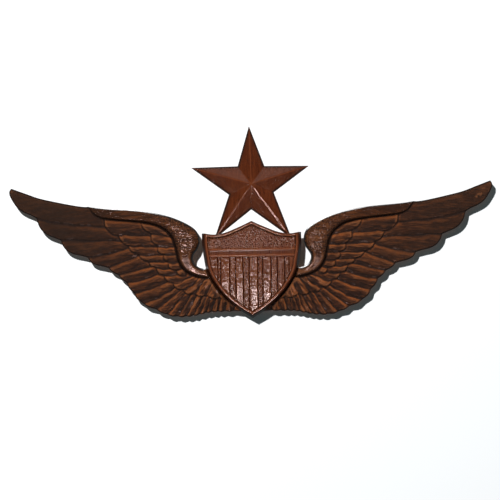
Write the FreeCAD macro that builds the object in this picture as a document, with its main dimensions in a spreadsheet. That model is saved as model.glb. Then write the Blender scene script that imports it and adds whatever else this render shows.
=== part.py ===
"""A carved mahogany wall plaque: a pair of pilot's wings, a striped shield and a five-pointed star.

The plaque hangs upright. +X is to the right, +Z is up and the wall is the plane y = 0, so every piece lies
at negative y. The origin is on the wall plane, on the centreline, behind the middle of the backing block.
Two carved wings butt together behind the shield. A backing block fills the space above their roots. The
shield is screwed on over all three, and the star's two lower points are let in behind it and pinned.
"""

import FreeCAD, Part
import math
import os

from FreeCAD import Placement, Rotation, Vector

# Driving dimensions: alias, value in millimetres or degrees.
DIMENSIONS = [
    ("span", 457.2),
    ("standoff", 5.5),
    ("flight_depth", 9.0),
    ("covert_depth", 10.4),
    ("small_covert_depth", 11.6),
    ("arm_depth", 14.5),
    ("arm_bevel", 2.2),
    ("groove_width", 0.9),
    ("groove_depth", 1.2),
    ("seat_depth", 8.0),
    ("seat_gap", 0.15),
    ("shield_depth", 20.0),
    ("shield_draft", 2.3),
    ("shield_rim", 3.0),
    ("shield_field_drop", 1.0),
    ("bar_top", -8.4),
    ("bar_height", 5.8),
    ("star_edge_depth", 7.0),
    ("star_apex_depth", 13.0),
    ("glue_gap", 0.05),
    ("dowel_radius", 2.5),
    ("dowel_length", 26.0),
    ("dowel_room", 1.0),
    ("centre_dowel_upper", -44.0),
    ("centre_dowel_lower", -57.0),
    ("block_dowel_offset", 14.0),
    ("screw_radius", 1.75),
    ("screw_head_radius", 3.4),
    ("screw_head_depth", 2.2),
    ("screw_length", 15.0),
    ("pin_radius", 0.5),
    ("pin_length", 13.5),
    ("hanger_offset", 85.0),
    ("hanger_height", 9.0),
    ("strap_width", 9.0),
    ("strap_gauge", 1.0),
    ("strap_length", 26.0),
    ("strap_hole_drop", 19.5),
    ("ring_wire_radius", 1.2),
    ("ring_play", 0.05),
    ("ring_half_width", 8.0),
    ("ring_corner", 2.0),
    ("ring_side", 1.5),
    ("ring_lean", 4.5),
    ("hanger_screw_radius", 1.6),
    ("hanger_screw_head_radius", 3.2),
    ("hanger_screw_head_height", 1.4),
    ("hanger_screw_length", 9.7),
    ("hanger_pilot_depth", 8.0),
    ("pad_radius", 6.35),
    ("pad_round", 0.8),
]
DESIGN_SPAN = 457.2

# The right wing's outline, in millimetres at the design span: x from the centreline, z up.
TOP_EDGE = [(226.7, 52.5), (213, 47.4), (200, 42.7), (180, 38), (165, 35), (157, 34), (154, 34.2)]
ARM_TOP = [
    (154, 34.2), (140, 32.4), (110, 30), (90, 26.8), (75, 22.6), (62, 16.8), (53.6, 11), (50, 5), (49.2, -2),
]
ARM_HOOK = [(49.2, -2), (51.6, -8), (55, -12.5), (56, -17), (54.3, -21.7), (50.5, -25), (46, -26.4)]
TIP_EDGE = [(226.7, 52.5), (228.4, 49.6), (228.2, 46)]
# The trailing edge of each flight feather, from the tip of the wing inwards.
FLIGHT_EDGES = [
    [(228.2, 46), (225.4, 40.4), (220.6, 33.6), (214.5, 29.4), (208, 26.6), (203, 23.6)],
    [(203, 23.6), (200.8, 16.4), (197.2, 11.2), (192.4, 7.6), (186, 4.9), (180.5, 2.6)],
    [(180.5, 2.6), (178.6, -2.4), (174.8, -7.2), (169, -10.4), (161.5, -12.2), (155.3, -14)],
    [(155.3, -14), (152.4, -18.4), (147.8, -21), (141.6, -22.6), (136, -24)],
    [(136, -24), (132.4, -28), (126.6, -31)],
    [(126.6, -31), (123.6, -35), (119, -38.4)],
    [(119, -38.4), (116.6, -43.8), (112, -48.5)],
    [(112, -48.5), (109.4, -53.8), (103.4, -58.4)],
    [(103.4, -58.4), (98.4, -62), (91.5, -64)],
    [(91.5, -64), (87, -67.2), (81, -69)],
    [(81, -69), (76.4, -71), (71, -71)],
    [(71, -71), (67, -72), (63, -71)],
    [(63, -71), (59.6, -71.6), (56.5, -70.4)],
    [(56.5, -70.4), (53.4, -70.7), (50.5, -69.2)],
    [(50.5, -69.2), (47.4, -69.3), (44.5, -67.9)],
    [(44.5, -67.9), (41.6, -68.2), (38.8, -67)],
    [(38.8, -67), (35.8, -67.8), (33, -66.8)],
    [(33, -66.8), (29.6, -67.6), (26.5, -66.7)],
    [(26.5, -66.7), (22, -67.4), (18, -66.7)],
    [(18, -66.7), (10, -67.2), (0.05, -66.6)],
]
# The line between each flight feather and the next, from the trailing edge to its end under the coverts.
FLIGHT_LINES = [
    [(203, 23.6), (181, 18.6), (160, 16.2), (136, 14.2)],
    [(180.5, 2.6), (158.7, 2), (126, 1.2)],
    [(155.3, -14), (135, -10.8), (113, -4)],
    [(136, -24), (118.3, -17.6), (105, -11.5)],
    [(126.6, -31), (114, -28.3), (95, -23)],
    [(119, -38.4), (108, -37), (87, -30.5)],
    [(112, -48.5), (98, -45.5), (78, -37.5)],
    [(103.4, -58.4), (90, -53.5), (71, -43)],
    [(91.5, -64), (83, -58), (66, -45)],
    [(81, -69), (76, -63.5), (61, -46)],
    [(71, -71), (66.5, -64.5), (55.5, -47)],
    [(63, -71), (58.5, -64), (50.5, -47)],
    [(56.5, -70.4), (51.8, -63), (45.5, -48)],
    [(50.5, -69.2), (46.4, -61.5), (41.5, -48)],
    [(44.5, -67.9), (41.4, -61), (37.5, -48)],
    [(38.8, -67), (36.4, -60), (33.5, -48)],
    [(33, -66.8), (31, -60), (29, -48)],
    [(26.5, -66.7), (25, -60), (24, -48)],
    [(18, -66.7), (17.5, -60), (17, -48)],
]
# The end of each long covert, outermost first, and the tier's upper limit, hidden inside the arm.
COVERT_EDGES = [
    [(139.6, 22.4), (137.6, 14.4), (132.4, 8.6), (126, 6.6)],
    [(126, 6.6), (123, 0.6), (116.6, -3.6)],
    [(116.6, -3.6), (113, -9), (106.6, -12.2)],
    [(106.6, -12.2), (103.6, -16.6), (97.4, -18.9)],
    [(97.4, -18.9), (95, -22.8), (90.6, -25)],
    [(90.6, -25), (88.4, -30.2), (83.2, -32.6)],
    [(83.2, -32.6), (80.6, -37.4), (74.6, -39.8)],
    [(74.6, -39.8), (71.6, -44), (65, -46)],
    [(65, -46), (61.6, -49.4), (54.6, -49.9)],
    [(54.6, -49.9), (50, -52.8), (43, -52)],
    [(43, -52), (38, -55), (31.5, -54)],
    [(31.5, -54), (26, -56.5), (20, -55)],
]
COVERT_ROOTS = [
    (20, -55), (20, -31), (44, -31), (60, -22), (64, 2), (82, 16), (104, 23), (137, 26), (139.6, 22.4),
]
# The small coverts, in the same way.
SMALL_EDGES = [
    [(104, 18.6), (101.4, 11.8), (95, 6.8)],
    [(95, 6.8), (94, 0.4), (88.6, -4.6)],
    [(88.6, -4.6), (87.8, -9.8), (83.2, -12.8)],
    [(83.2, -12.8), (83, -17), (78.2, -20)],
    [(78.2, -20), (77.6, -25), (72, -28.2)],
    [(72, -28.2), (69, -32), (63, -33)],
]
SMALL_ROOTS = [(63, -33), (62, -28), (60, -22), (65, 2), (82, 17), (102, 24), (104, 18.6)]
# The line that parts the arm from the feathers, from the arm's outer end to the shield.
ARM_GROOVE = [
    (154, 34.2), (149, 27.2), (142, 23.4), (130, 21.6), (110, 19.6), (95, 16.9), (85, 12.8), (77, 6),
    (73, -2.5), (71, -11), (69, -19.5), (64, -27.4), (56, -32.4), (48, -34.9), (41, -35.5),
]
ROOT_TOP = -26.4
ROOT_BOTTOM = -66.6
# A feather line starts this far inside the trailing edge and runs this far on under the coverts.
LINE_MARGIN = 1.5
LINE_OVERRUN = 3.0

# The right half of the shield's outline at its back.
SHIELD_TOP = [(0, 18), (12, 12.6), (26, 7.2), (38, 5.7), (47, 7)]
SHIELD_SIDE = [
    (47, 7), (46.9, -4), (45.6, -15), (43, -28.6), (37.5, -39.7), (28.5, -52), (14.5, -64.6), (0, -73.8),
]
# The raised stripes: middle and width of each, uneven as cut by hand.
STRIPES = [(-36.4, 7.7), (-25.4, 8.2), (-11.9, 6.5), (1.4, 7.6), (14, 7.2), (27.3, 6.3), (39, 7.6)]
# The star's corners, clockwise from the top; the two lower points run on behind the shield. Its facets rise
# to the apex, and a brad goes through each lower point at the pin height.
STAR_CORNERS = [
    (-0.7, 108), (13.3, 69.8), (55.4, 69.3), (21.7, 44.7), (37.9, 1.2),
    (0.3, 29), (-35.2, 1.5), (-20.7, 43.2), (-56, 69.2), (-12, 70),
]
STAR_LOWER_POINTS = (STAR_CORNERS[6], STAR_CORNERS[4])
STAR_APEX = (0.6, 53)
PIN_HEIGHT = 4.2
# The right half of the backing block, from its top point to its lower corner.
BLOCK_HALF = [(0, 13), (25, 5), (28, -2), (41.5, -2), (40.5, -15), (38.5, -26.35)]
# Shield screws: two through the block and two through the wing roots. Wall pads: behind the wings.
BLOCK_SCREW = (27, -12)
ROOT_SCREW = (25, -37)
OUTER_PAD = (188, 26)
LOWER_PAD = (76, -52)
STAR_PAD = (0, 51.5)
# Drive recesses: their depth in both kinds of screw, and the cross's size against the head's radius.
SHIELD_SCREW_RECESS = 1.2
HANGER_SCREW_RECESS = 0.8
CROSS_LENGTH = 1.1
CROSS_WIDTH = 0.3
# A hanger screw's flat crown and its drive recess, against the head's radius.
SCREW_CROWN = 0.72
SCREW_SLOT = 0.6
# The rim's width at the shield's foot plus its width at the top, against the latter.
RIM_FOOT = 2.2
# The arm's bevel runs along edges longer than this.
ARM_LONG_EDGE = 20

doc = FreeCAD.newDocument("WingsPlaque")


def make_sheet():
    """Writes the driving dimensions into a spreadsheet and returns it."""
    sheet = doc.addObject("Spreadsheet::Sheet", "Dims")
    for row, (alias, value) in enumerate(DIMENSIONS, 1):
        sheet.set(f"A{row}", alias)
        sheet.set(f"B{row}", str(value))
        sheet.setAlias(f"B{row}", alias)
    doc.recompute()
    return sheet


dims = make_sheet()
scale = dims.span / DESIGN_SPAN


def bind(thing, **cells):
    """Ties properties of a document object to expressions on the sheet's cells."""
    for name, expression in cells.items():
        thing.setExpression(name.replace("__", "."), expression)


def place_on_back(thing):
    """Moves a body built from the y = 0 plane to the wood's back plane."""
    thing.Placement = Placement(Vector(0, -dims.standoff, 0), Rotation())
    bind(thing, Placement__Base__y="0 - Dims.standoff")


def flat(point, side=1):
    """A design point as a sketch vector; side is 1 on the right and -1 on the left."""
    return Vector(point[0] * scale * side, point[1] * scale, 0)


def spline(points, side=1):
    curve = Part.BSplineCurve()
    curve.interpolate([flat(p, side) for p in points])
    return curve


def polyline(points, side=1):
    ends = [flat(p, side) for p in points]
    return [Part.LineSegment(a, b) for a, b in zip(ends, ends[1:])]


def strip(line, half_width, side=1):
    """A closed strip along a line of points, half_width to each side of it."""
    left, right = [], []
    for i, (x, z) in enumerate(line):
        before, after = line[max(i - 1, 0)], line[min(i + 1, len(line) - 1)]
        length = math.dist(before, after)
        nx = -(after[1] - before[1]) / length * half_width
        nz = (after[0] - before[0]) / length * half_width
        left.append((x + nx, z + nz))
        right.append((x - nx, z - nz))
    return polyline(left + right[::-1] + left[:1], side)


def along(start, towards, distance):
    """The point at a distance from start on the way towards another point."""
    share = distance / math.dist(start, towards)
    return (start[0] + (towards[0] - start[0]) * share, start[1] + (towards[1] - start[1]) * share)


def new_body(label):
    body = doc.addObject("PartDesign::Body", label)
    body.Label = label
    return body


def sketch_on(body, name, geometry):
    """A sketch of the given geometry on the body's own upright plane."""
    sketch = body.newObject("Sketcher::SketchObject", name)
    plane = next(f for f in body.Origin.OriginFeatures if f.Role == "XZ_Plane")
    sketch.AttachmentSupport = [(plane, "")]
    sketch.MapMode = "FlatFace"
    sketch.addGeometry(list(geometry), False)
    return sketch


def pad(body, name, geometry, length):
    """Pads closed geometry from the wood's back plane towards the front."""
    feature = body.newObject("PartDesign::Pad", name)
    feature.Profile = sketch_on(body, name + "_outline", geometry)
    bind(feature, Length=length)
    doc.recompute()
    return feature


def pocket(body, name, geometry, front, depth):
    """Cuts closed geometry into the front, from the depth that front names down to front minus depth."""
    before = body.Shape.Volume
    feature = body.newObject("PartDesign::Pocket", name)
    sketch = sketch_on(body, name + "_outline", geometry)
    bind(sketch, AttachmentOffset__Base__z=front)
    feature.Profile = sketch
    bind(feature, Length=depth)
    doc.recompute()
    if body.Shape.Volume >= before:
        raise RuntimeError(f"{name} cut nothing")
    return feature


def bevel_long_edges(body, name, base, depth, size, shortest):
    """Chamfers the edges of the flat at the given depth, apart from those shorter than the given length."""
    edges = [
        f"Edge{i}" for i, edge in enumerate(base.Shape.Edges, 1)
        if all(abs(vertex.Point.y + depth) < 1e-4 for vertex in edge.Vertexes) and edge.Length > shortest
    ]
    feature = body.newObject("PartDesign::Chamfer", name)
    feature.Base = (base, edges)
    bind(feature, Size=size)
    doc.recompute()
    return feature


def cylinder(name, radius, height, position, direction):
    tool = doc.addObject("Part::Cylinder", name)
    bind(tool, Radius=radius, Height=height)
    tool.Placement = Placement(position, Rotation(Vector(0, 0, 1), direction))
    return tool


def cone(name, radius_back, radius_front, height, position, direction):
    tool = doc.addObject("Part::Cone", name)
    bind(tool, Radius1=radius_back, Radius2=radius_front, Height=height)
    tool.Placement = Placement(position, Rotation(Vector(0, 0, 1), direction))
    return tool


def fuse(label, shapes):
    joined = doc.addObject("Part::MultiFuse", label)
    joined.Label = label
    joined.Shapes = shapes
    return joined


def cut(label, base, tools):
    """The base with all the tools taken out of it."""
    trimmed = doc.addObject("Part::Cut", label)
    trimmed.Label = label
    trimmed.Base = base
    trimmed.Tool = tools[0] if len(tools) == 1 else fuse(label + "_tools", tools)
    doc.recompute()
    return trimmed


def back_point(x, z, depth=0.0):
    return Vector(x * scale, -dims.standoff - depth, z * scale)


FORWARD = Vector(0, -1, 0)
RIGHT = Vector(1, 0, 0)
UP = Vector(0, 0, 1)


def screw_hole(name, x, z):
    """The countersunk hole of a shield screw, drilled from the back."""
    return [
        cylinder(name + "_bore", "Dims.screw_radius + Dims.glue_gap", "Dims.screw_length + Dims.glue_gap",
                 back_point(x, z), FORWARD),
        cone(name + "_sink", "Dims.screw_head_radius + Dims.glue_gap", "Dims.screw_radius + Dims.glue_gap",
             "Dims.screw_head_depth", back_point(x, z), FORWARD),
    ]


def dowel_hole(name, centre, direction):
    """The hole of a dowel, with a little room for glue past each end."""
    half = (dims.dowel_length / 2 + dims.dowel_room) * scale
    return cylinder(name, "Dims.dowel_radius + Dims.glue_gap", "Dims.dowel_length + 2 * Dims.dowel_room",
                    centre - direction * half, direction)


def centre_dowel_places():
    return [back_point(0, z, dims.seat_depth / 2) for z in (dims.centre_dowel_upper, dims.centre_dowel_lower)]


def block_dowel_places():
    return [back_point(side * dims.block_dowel_offset, ROOT_TOP, dims.seat_depth / 2) for side in (-1, 1)]


def shield_edge(side_points, top_points, widen=0.0):
    """The shield's outline as four splines; widen moves every point away from the middle of the shield."""
    def moved(points):
        return [(x + widen * (1 if x > 0 else 0), z + widen * (1 if z > 0 else -1)) for x, z in points]

    return [spline(moved(points), side) for side in (1, -1) for points in (top_points, side_points)]


def tapered(points, draft):
    """Shield points on its front face: the sides close in towards the top centre."""
    half_width = SHIELD_TOP[-1][0]
    top = SHIELD_TOP[-1][1]
    drop = top - SHIELD_SIDE[-1][1]
    return [
        (x * (1 - draft / half_width), z - max(0.0, top - z) * -draft / drop) for x, z in points
    ]


def inside_rim(points, draft, rim):
    """Face points moved in by the rim's width."""
    half_width = SHIELD_TOP[-1][0] - draft
    top = SHIELD_TOP[-1][1]
    drop = top - SHIELD_SIDE[-1][1] - draft
    face = tapered(points, draft)
    return [
        (x * (1 - rim / half_width), z - rim + max(0.0, top - z) * RIM_FOOT * rim / drop) for x, z in face
    ]


def feather_lines(side):
    """Closed strips along the lines between the flight feathers."""
    strips = []
    for line in FLIGHT_LINES:
        start = along(line[0], line[1], LINE_MARGIN)
        end = along(line[-1], line[-2], -LINE_OVERRUN)
        strips += strip([start] + line[1:-1] + [end], dims.groove_width / 2, side)
    return strips


def wing_board(body, label, side):
    """The flight feathers' board with its root, scalloped trailing edge and feather lines."""
    gap = dims.glue_gap / scale
    outline = [spline(line, side) for line in (TOP_EDGE, TIP_EDGE, ARM_TOP, ARM_HOOK, *FLIGHT_EDGES[:-1])]
    last = FLIGHT_EDGES[-1][0]
    outline += polyline([ARM_HOOK[-1], (gap, ROOT_TOP), (gap, ROOT_BOTTOM), last], side)
    pad(body, label + "_flights", outline, "Dims.flight_depth")
    pocket(body, label + "_feather_lines", feather_lines(side), "Dims.flight_depth", "Dims.groove_depth")


def wing_tiers(body, label, side):
    """The two tiers of coverts and the arm along the top, each standing higher than the one before."""
    coverts = [spline(edge, side) for edge in COVERT_EDGES] + polyline(COVERT_ROOTS, side)
    pad(body, label + "_coverts", coverts, "Dims.covert_depth")
    small = [spline(edge, side) for edge in SMALL_EDGES] + polyline(SMALL_ROOTS, side)
    pad(body, label + "_small_coverts", small, "Dims.small_covert_depth")
    inner_end = polyline([ARM_HOOK[-1], (ARM_GROOVE[-1][0], ROOT_TOP), ARM_GROOVE[-1]], side)
    outline = [spline(line, side) for line in (ARM_TOP, ARM_HOOK, ARM_GROOVE)] + inner_end
    arm = pad(body, label + "_arm", outline, "Dims.arm_depth")
    bevel_long_edges(body, label + "_arm_bevel", arm, dims.arm_depth, "Dims.arm_bevel", ARM_LONG_EDGE)


def wing(label, side):
    """One carved wing: a board with tiers of feathers, an arm along the top and a root behind the shield."""
    body = new_body(label + "_carving")
    wing_board(body, label, side)
    wing_tiers(body, label, side)
    seat = shield_edge(SHIELD_SIDE, SHIELD_TOP, dims.seat_gap)
    pocket(body, label + "_shield_seat", seat, "Dims.shield_depth", "Dims.shield_depth - Dims.seat_depth")
    place_on_back(body)

    tools = screw_hole(label + "_screw", side * ROOT_SCREW[0], ROOT_SCREW[1])
    tools += [dowel_hole(f"{label}_centre_dowel_{i}", p, RIGHT) for i, p in enumerate(centre_dowel_places())]
    tools += [dowel_hole(f"{label}_block_dowel", p, UP) for p in block_dowel_places() if p.x * side > 0]
    hanger = back_point(side * dims.hanger_offset, dims.hanger_height - dims.strap_hole_drop)
    tools.append(cylinder(label + "_hanger_pilot", "Dims.hanger_screw_radius + Dims.glue_gap",
                          "Dims.hanger_pilot_depth", hanger, FORWARD))
    return cut(label, body, tools)


def backing_block():
    """The block behind the upper half of the shield, flush with the backs of the wings."""
    body = new_body("backing_block_blank")
    left = [(-x, z) for x, z in reversed(BLOCK_HALF)]
    pad(body, "block_board", polyline(BLOCK_HALF + left[:-1] + BLOCK_HALF[:1]), "Dims.seat_depth")
    place_on_back(body)
    tools = []
    for side in (-1, 1):
        tools += screw_hole(f"block_screw_{side + 1}", side * BLOCK_SCREW[0], BLOCK_SCREW[1])
    tools += [dowel_hole(f"block_dowel_{i}", p, UP) for i, p in enumerate(block_dowel_places())]
    return cut("backing_block", body, tools)


def stripe_bottom(x, edge_points):
    """The height at which a vertical line at x meets the lower side of an outline."""
    for (xa, za), (xb, zb) in zip(edge_points, edge_points[1:]):
        if xb <= abs(x) <= xa:
            return za + (zb - za) * (xa - abs(x)) / (xa - xb)
    raise ValueError(f"no edge at {x}")


def shield():
    """The shield: a drafted board with a raised rim, a field above a bar and raised stripes below it."""
    body = new_body("shield_carving")
    draft = dims.shield_draft
    rim = dims.shield_rim
    back = sketch_on(body, "shield_back", shield_edge(SHIELD_SIDE, SHIELD_TOP))
    bind(back, AttachmentOffset__Base__z="Dims.seat_depth")
    face = shield_edge(tapered(SHIELD_SIDE, draft), tapered(SHIELD_TOP, draft))
    front = sketch_on(body, "shield_front", face)
    bind(front, AttachmentOffset__Base__z="Dims.shield_depth")
    loft = body.newObject("PartDesign::AdditiveLoft", "shield_board")
    loft.Profile = back
    loft.Sections = [front]
    loft.Ruled = True
    doc.recompute()

    side_edge = inside_rim(SHIELD_SIDE, draft, rim)
    top_edge = inside_rim(SHIELD_TOP, draft, rim)
    bar_top = dims.bar_top
    corner_x = next(x for x, z in reversed(side_edge) if z > bar_top)
    upper = [(corner_x, bar_top)] + [top_edge[-1]]
    chief = [spline(top_edge, 1), spline(top_edge, -1)]
    chief += polyline(upper, 1) + polyline(upper, -1) + polyline([(-corner_x, bar_top), (corner_x, bar_top)])
    pocket(body, "chief_field", chief, "Dims.shield_depth", "Dims.shield_field_drop")

    gaps = []
    top = bar_top - dims.bar_height
    for (left, left_width), (right, right_width) in zip(STRIPES, STRIPES[1:]):
        low, high = left + left_width / 2, right - right_width / 2
        low_end, high_end = stripe_bottom(low, side_edge), stripe_bottom(high, side_edge)
        gaps += polyline([(low, top), (high, top), (high, high_end), (low, low_end), (low, top)])
    pocket(body, "stripe_gaps", gaps, "Dims.shield_depth", "Dims.shield_field_drop")
    place_on_back(body)

    tools = []
    for i, (x, z) in enumerate([BLOCK_SCREW, ROOT_SCREW]):
        for side in (-1, 1):
            tools += screw_hole(f"shield_hole_{i}_{side + 1}", side * x, z)[:1]
    tools += [pin_shape(f"shield_pin_hole_{i}", p, "Dims.glue_gap") for i, p in enumerate(pin_places())]
    return cut("shield", body, tools)


def star():
    """The star: a flat-backed board whose ten facets rise to a point near the middle."""
    body = new_body("star_carving")
    outline = polyline(STAR_CORNERS + STAR_CORNERS[:1])
    pad(body, "star_board", outline, "Dims.star_edge_depth")
    rim = sketch_on(body, "star_rim", outline)
    bind(rim, AttachmentOffset__Base__z="Dims.star_edge_depth")
    apex = sketch_on(body, "star_apex", [Part.Point(flat(STAR_APEX))])
    bind(apex, AttachmentOffset__Base__z="Dims.star_apex_depth")
    facets = body.newObject("PartDesign::AdditiveLoft", "star_facets")
    facets.Profile = rim
    facets.Sections = [apex]
    facets.Ruled = True
    doc.recompute()
    place_on_back(body)
    tools = [pin_shape(f"star_pin_hole_{i}", p, "Dims.glue_gap") for i, p in enumerate(pin_places())]
    return cut("star", body, tools)


def pin_places():
    """Where the brads go through the middle of the star's lower points, just below the shield's top edge."""
    places = []
    for x, z in STAR_LOWER_POINTS:
        share = (STAR_APEX[1] - PIN_HEIGHT) / (STAR_APEX[1] - z)
        places.append(back_point(STAR_APEX[0] + (x - STAR_APEX[0]) * share, PIN_HEIGHT))
    return places


def pin_shape(name, place, play):
    return cylinder(name, f"Dims.pin_radius + {play}", f"Dims.pin_length + {play}", place, FORWARD)


def star_pins():
    return fuse("star_pins", [pin_shape(f"star_pin_{i}", p, 0) for i, p in enumerate(pin_places())])


def dowels(label, places, direction):
    """A group of plain birch dowels centred on the given places."""
    half = direction * (dims.dowel_length / 2)
    return fuse(label, [
        cylinder(f"{label}_{i}", "Dims.dowel_radius", "Dims.dowel_length", p - half, direction)
        for i, p in enumerate(places)
    ])


def slot_tools(name, place, radius, depth):
    """Two crossed bars, the drive recess of a screw; place is the middle of the head's face."""
    bars = []
    for i in range(2):
        bar = doc.addObject("Part::Box", f"{name}_{i}")
        long_side, short_side = radius * CROSS_LENGTH, radius * CROSS_WIDTH
        width, height = (long_side, short_side) if i else (short_side, long_side)
        bar.Length, bar.Width, bar.Height = width, depth, height
        bar.Placement.Base = place - Vector(width / 2, depth, height / 2)
        bars.append(bar)
    return bars


def shield_screws():
    """Four countersunk wood screws that hold the shield from behind."""
    screws = []
    for i, (x, z) in enumerate([BLOCK_SCREW, ROOT_SCREW]):
        for side in (-1, 1):
            name = f"shield_screw_{i}_{side + 1}"
            place = back_point(side * x, z)
            shank = cylinder(name + "_shank", "Dims.screw_radius", "Dims.screw_length", place, FORWARD)
            head = cone(name + "_head", "Dims.screw_head_radius", "Dims.screw_radius",
                        "Dims.screw_head_depth", place, FORWARD)
            blank = fuse(name + "_blank", [shank, head])
            recess = slot_tools(name + "_drive", place, dims.screw_head_radius, SHIELD_SCREW_RECESS)
            screws.append(cut(name, blank, recess))
    return fuse("shield_screws", screws)


def pivot(side):
    """The middle of a hanger ring's bar."""
    loop = dims.ring_wire_radius + dims.ring_play + dims.strap_gauge
    return back_point(side * dims.hanger_offset, dims.hanger_height, -loop)


def hanger_strap(label, side):
    """A folded steel strap: two leaves flat on the wood and a loop round the ring's bar at their top."""
    hinge = pivot(side)
    inner = "Dims.ring_wire_radius + Dims.ring_play"
    start = hinge - RIGHT * (dims.strap_width / 2)
    barrel = cylinder(label + "_barrel", f"{inner} + Dims.strap_gauge", "Dims.strap_width", start, RIGHT)
    leaves = doc.addObject("Part::Box", label + "_leaves")
    bind(leaves, Length="Dims.strap_width", Width="2 * Dims.strap_gauge", Height="Dims.strap_length")
    leaves.Placement.Base = Vector(start.x, -dims.standoff, hinge.z - dims.strap_length)
    bore = cylinder(label + "_bore", inner, "Dims.strap_width", start, RIGHT)
    hole_place = Vector(hinge.x, -dims.standoff, hinge.z - dims.strap_hole_drop)
    hole = cylinder(label + "_hole", "Dims.hanger_screw_radius + Dims.glue_gap", "2 * Dims.strap_gauge",
                    hole_place, -FORWARD)
    return cut(label, fuse(label + "_blank", [barrel, leaves]), [bore, hole])


def hanger_ring(label, side):
    """A D-shaped wire ring that stands up from its bar and leans back on the wood."""
    wire = dims.ring_wire_radius
    half = dims.ring_half_width
    corner = dims.ring_corner
    side_top = corner + dims.ring_side

    def bend(name, radius, centre, start, turn):
        torus = doc.addObject("Part::Torus", name)
        bind(torus, Radius2="Dims.ring_wire_radius")
        torus.Radius1 = radius
        torus.Angle3 = turn
        stand = Rotation(Vector(1, 0, 0), 90)
        torus.Placement = Placement(centre, stand.multiply(Rotation(Vector(0, 0, 1), start)))
        return torus

    bar = cylinder(label + "_bar", "Dims.ring_wire_radius", "2 * (Dims.ring_half_width - Dims.ring_corner)",
                   Vector(-half + corner, 0, 0), RIGHT)
    pieces = [
        bar,
        bend(label + "_corner_right", corner, Vector(half - corner, 0, corner), -90, 90),
        bend(label + "_corner_left", corner, Vector(-half + corner, 0, corner), 180, 90),
        bend(label + "_bow", half, Vector(0, 0, side_top), 0, 180),
    ]
    for name, x in (("right", half), ("left", -half)):
        pieces.append(cylinder(f"{label}_side_{name}", "Dims.ring_wire_radius", "Dims.ring_side",
                               Vector(x, 0, corner), UP))
    ring = fuse(label, pieces)
    ring.Placement = Placement(pivot(side), Rotation(Vector(1, 0, 0), dims.ring_lean))
    return ring


def hanger_screw(label, side):
    """A pan-head wood screw through the strap."""
    hinge = pivot(side)
    face = Vector(hinge.x, -dims.standoff + 2 * dims.strap_gauge, hinge.z - dims.strap_hole_drop)
    shank = cylinder(label + "_shank", "Dims.hanger_screw_radius", "Dims.hanger_screw_length", face, FORWARD)
    head = cone(label + "_head", "Dims.hanger_screw_head_radius",
                f"{SCREW_CROWN} * Dims.hanger_screw_head_radius",
                "Dims.hanger_screw_head_height", face, -FORWARD)
    blank = fuse(label + "_blank", [shank, head])
    top = face - FORWARD * dims.hanger_screw_head_height
    slot = SCREW_SLOT * dims.hanger_screw_head_radius
    recess = slot_tools(label + "_drive", top, slot, HANGER_SCREW_RECESS)
    return cut(label, blank, recess)


def wall_pad(label, x, z):
    """A round rubber pad stuck to the back, its rear edge softened and its rear face on the wall plane."""
    body = new_body(label)
    profile = body.newObject("PartDesign::Pad", label + "_disc")
    circle = Part.Circle(Vector(0, 0, 0), Vector(0, 0, 1), dims.pad_radius)
    profile.Profile = sketch_on(body, label + "_circle", [circle])
    bind(profile, Length="Dims.standoff")
    doc.recompute()
    rear = [f"Edge{i}" for i, e in enumerate(body.Shape.Edges, 1)
            if e.BoundBox.YMax < 1e-6 + e.BoundBox.YMin and abs(e.BoundBox.YMax) < 1e-6]
    soft = body.newObject("PartDesign::Fillet", label + "_soft_edge")
    soft.Base = (profile, rear)
    bind(soft, Radius="Dims.pad_round")
    body.Placement = Placement(Vector(x * scale, 0, z * scale), Rotation())
    return body


def build():
    """Makes every sub-part and returns them by label."""
    nodes = [
        wing("left_wing", -1),
        wing("right_wing", 1),
        backing_block(),
        shield(),
        star(),
        star_pins(),
        dowels("centre_dowels", centre_dowel_places(), RIGHT),
        dowels("block_dowels", block_dowel_places(), UP),
        shield_screws(),
    ]
    for name, side in (("left", -1), ("right", 1)):
        nodes += [
            hanger_strap(name + "_hanger_strap", side),
            hanger_ring(name + "_hanger_ring", side),
            hanger_screw(name + "_hanger_screw", side),
            wall_pad(name + "_outer_wall_pad", side * OUTER_PAD[0], OUTER_PAD[1]),
            wall_pad(name + "_lower_wall_pad", side * LOWER_PAD[0], LOWER_PAD[1]),
        ]
    nodes.append(wall_pad("centre_wall_pad", 0, 0))
    nodes.append(wall_pad("star_wall_pad", *STAR_PAD))
    return {node.Label: node for node in nodes}


def check_and_write(nodes):
    """Stops on any failed object or bad shape, then writes one STEP file for each sub-part."""
    doc.recompute()
    for thing in doc.Objects:
        if "Invalid" in thing.State or "Error" in thing.State:
            raise RuntimeError(f"{thing.Label} failed: {thing.State}")
    os.makedirs("parts", exist_ok=True)
    for label, node in nodes.items():
        shape = node.Shape
        if shape.isNull() or not shape.isValid() or not shape.Solids:
            raise RuntimeError(f"{label} has no valid solid")
        shape.exportStep(f"parts/{label}.step")
        box = shape.BoundBox
        print(f"{label}: {len(shape.Solids)} solids, {shape.Volume:.1f} mm3, {box}")


check_and_write(build())
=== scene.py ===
"""A carved mahogany wall plaque: pilot's wings, a striped shield and a faceted star, hung on a pale wall.

Distances in the carving code are millimetres: x outwards from the centreline, z up, and depth forward from
the wood's back plane. Everything is turned into metres in the CAD frame when a mesh is made.
"""
import math

import bmesh
import bpy
import numpy as np
from mathutils import Matrix, Vector
from mathutils.geometry import tessellate_polygon


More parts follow.
